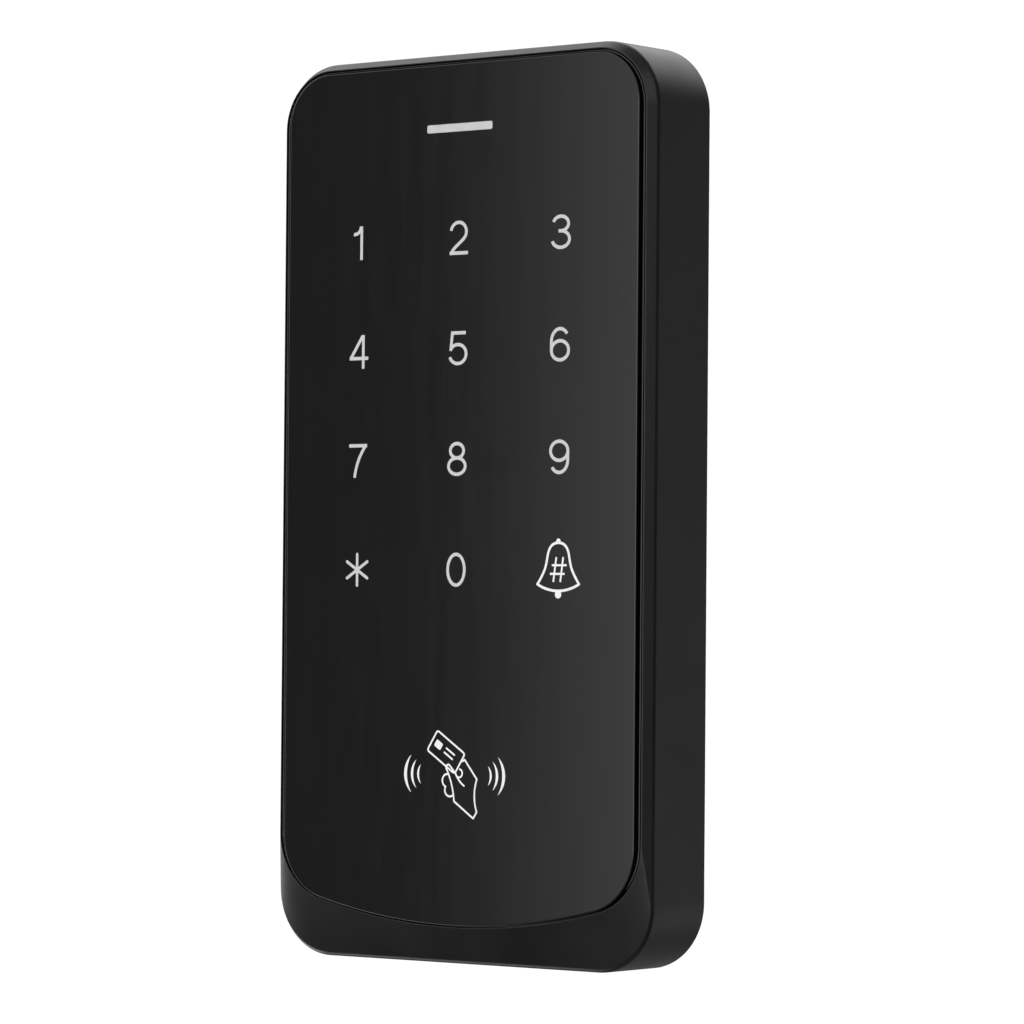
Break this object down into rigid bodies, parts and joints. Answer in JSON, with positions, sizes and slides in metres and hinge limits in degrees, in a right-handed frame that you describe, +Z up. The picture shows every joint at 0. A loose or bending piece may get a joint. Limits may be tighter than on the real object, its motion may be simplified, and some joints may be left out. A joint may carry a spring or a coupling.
{
  "type": "rfid card reader",
  "caption": "Slim upright wall reader with a rounded black housing, a flush gloss touch panel with number keys and card symbol, and a curved chin.",
  "frame": {"origin": "centre of the wall plate's back face, which rests on the wall", "axes": "+Z up, -Y out from the wall towards the user, +X to the user's right"},
  "size_m": [0.0772, 0.0163, 0.1454],
  "materials": {
    "housing_abs": "fine moulded texture, satin black",
    "trim_gloss": "polished black",
    "panel_gloss": "black-backed hard-coated acrylic",
    "key_ink": "screen printed light grey ink",
    "white_ink": "screen printed white ink",
    "window_frost": "frosted acrylic",
    "foam_tape": "black foam tape",
    "diffuser_film": "matt white film",
    "frame_white": "white reflective moulding",
    "light_guide": "clear polished acrylic",
    "board_green": "green solder mask on glass fibre",
    "copper": "bare copper, lacquered",
    "led_body": "white body with clear lens",
    "chip_black": "black moulded epoxy",
    "tinned_lead": "tin plated",
    "relay_case": "dark blue case",
    "ferrite": "dark grey ferrite",
    "can_aluminium": "drawn can",
    "ceramic_tan": "fired ceramic",
    "can_steel": "drawn can",
    "terminal_green": "green polyamide",
    "screw_steel": "zinc plated",
    "cover_abs": "coarser moulded texture, black",
    "seal_rubber": "black silicone",
    "screw_black": "black oxide",
    "switch_black": "black polyamide",
    "spring_steel": "drawn wire",
    "plate_zinc": "zinc plated sheet",
    "plunger_white": "white acetal"
  },
  "bodies": {
    "wall_plate": {"wall_plate": "plate_zinc"},
    "reader": {"front_housing": "housing_abs", "panel_trim": "trim_gloss", "touch_panel": "panel_gloss", "key_legends": "key_ink", "bell_legend": "white_ink", "card_legend": "white_ink", "status_window": "window_frost", "panel_tape": "foam_tape", "diffuser_sheet": "diffuser_film", "backlight_frame": "frame_white", "status_light_guide": "light_guide", "main_board": "board_green", "touch_pads": "copper", "key_leds": "led_body", "status_leds": "led_body", "antenna_coil": "copper", "controller_chip": "chip_black", "touch_chip": "chip_black", "reader_chip": "chip_black", "chip_leads": "tinned_lead", "relay": "relay_case", "buzzer": "chip_black", "power_inductor": "ferrite", "electrolytic_capacitors": "can_aluminium", "ceramic_capacitors": "ceramic_tan", "protection_diodes": "chip_black", "voltage_regulator": "chip_black", "crystal": "can_steel", "terminal_block": "terminal_green", "terminal_screws": "screw_steel", "board_screws": "screw_steel", "rear_cover": "cover_abs", "housing_seal": "seal_rubber", "rear_cover_screws": "screw_black", "cable_grommet": "seal_rubber", "tamper_switch": "switch_black", "tamper_spring": "spring_steel"},
    "lock_screw": {"lock_screw": "screw_steel"},
    "tamper_plunger": {"tamper_plunger": "plunger_white"}
  },
  "joints": [
    {"name": "reader_tilt", "type": "hinge", "parent": "wall_plate", "child": "reader", "pos_m": [0, -0.0025, 0.066], "axis": [-1, 0, 0], "range_deg": [0, 12]},
    {"name": "lock_screw_drive", "type": "slide", "parent": "reader", "child": "lock_screw", "axis": [0, 0, 1], "range_m": [0, 0.003]},
    {"name": "tamper_press", "type": "slide", "parent": "reader", "child": "tamper_plunger", "axis": [0, -1, 0], "range_m": [-0.001, 0.001], "stiffness_N_per_m": 120, "springref_m": -0.001, "deforming": ["tamper_spring"]}
  ]
}
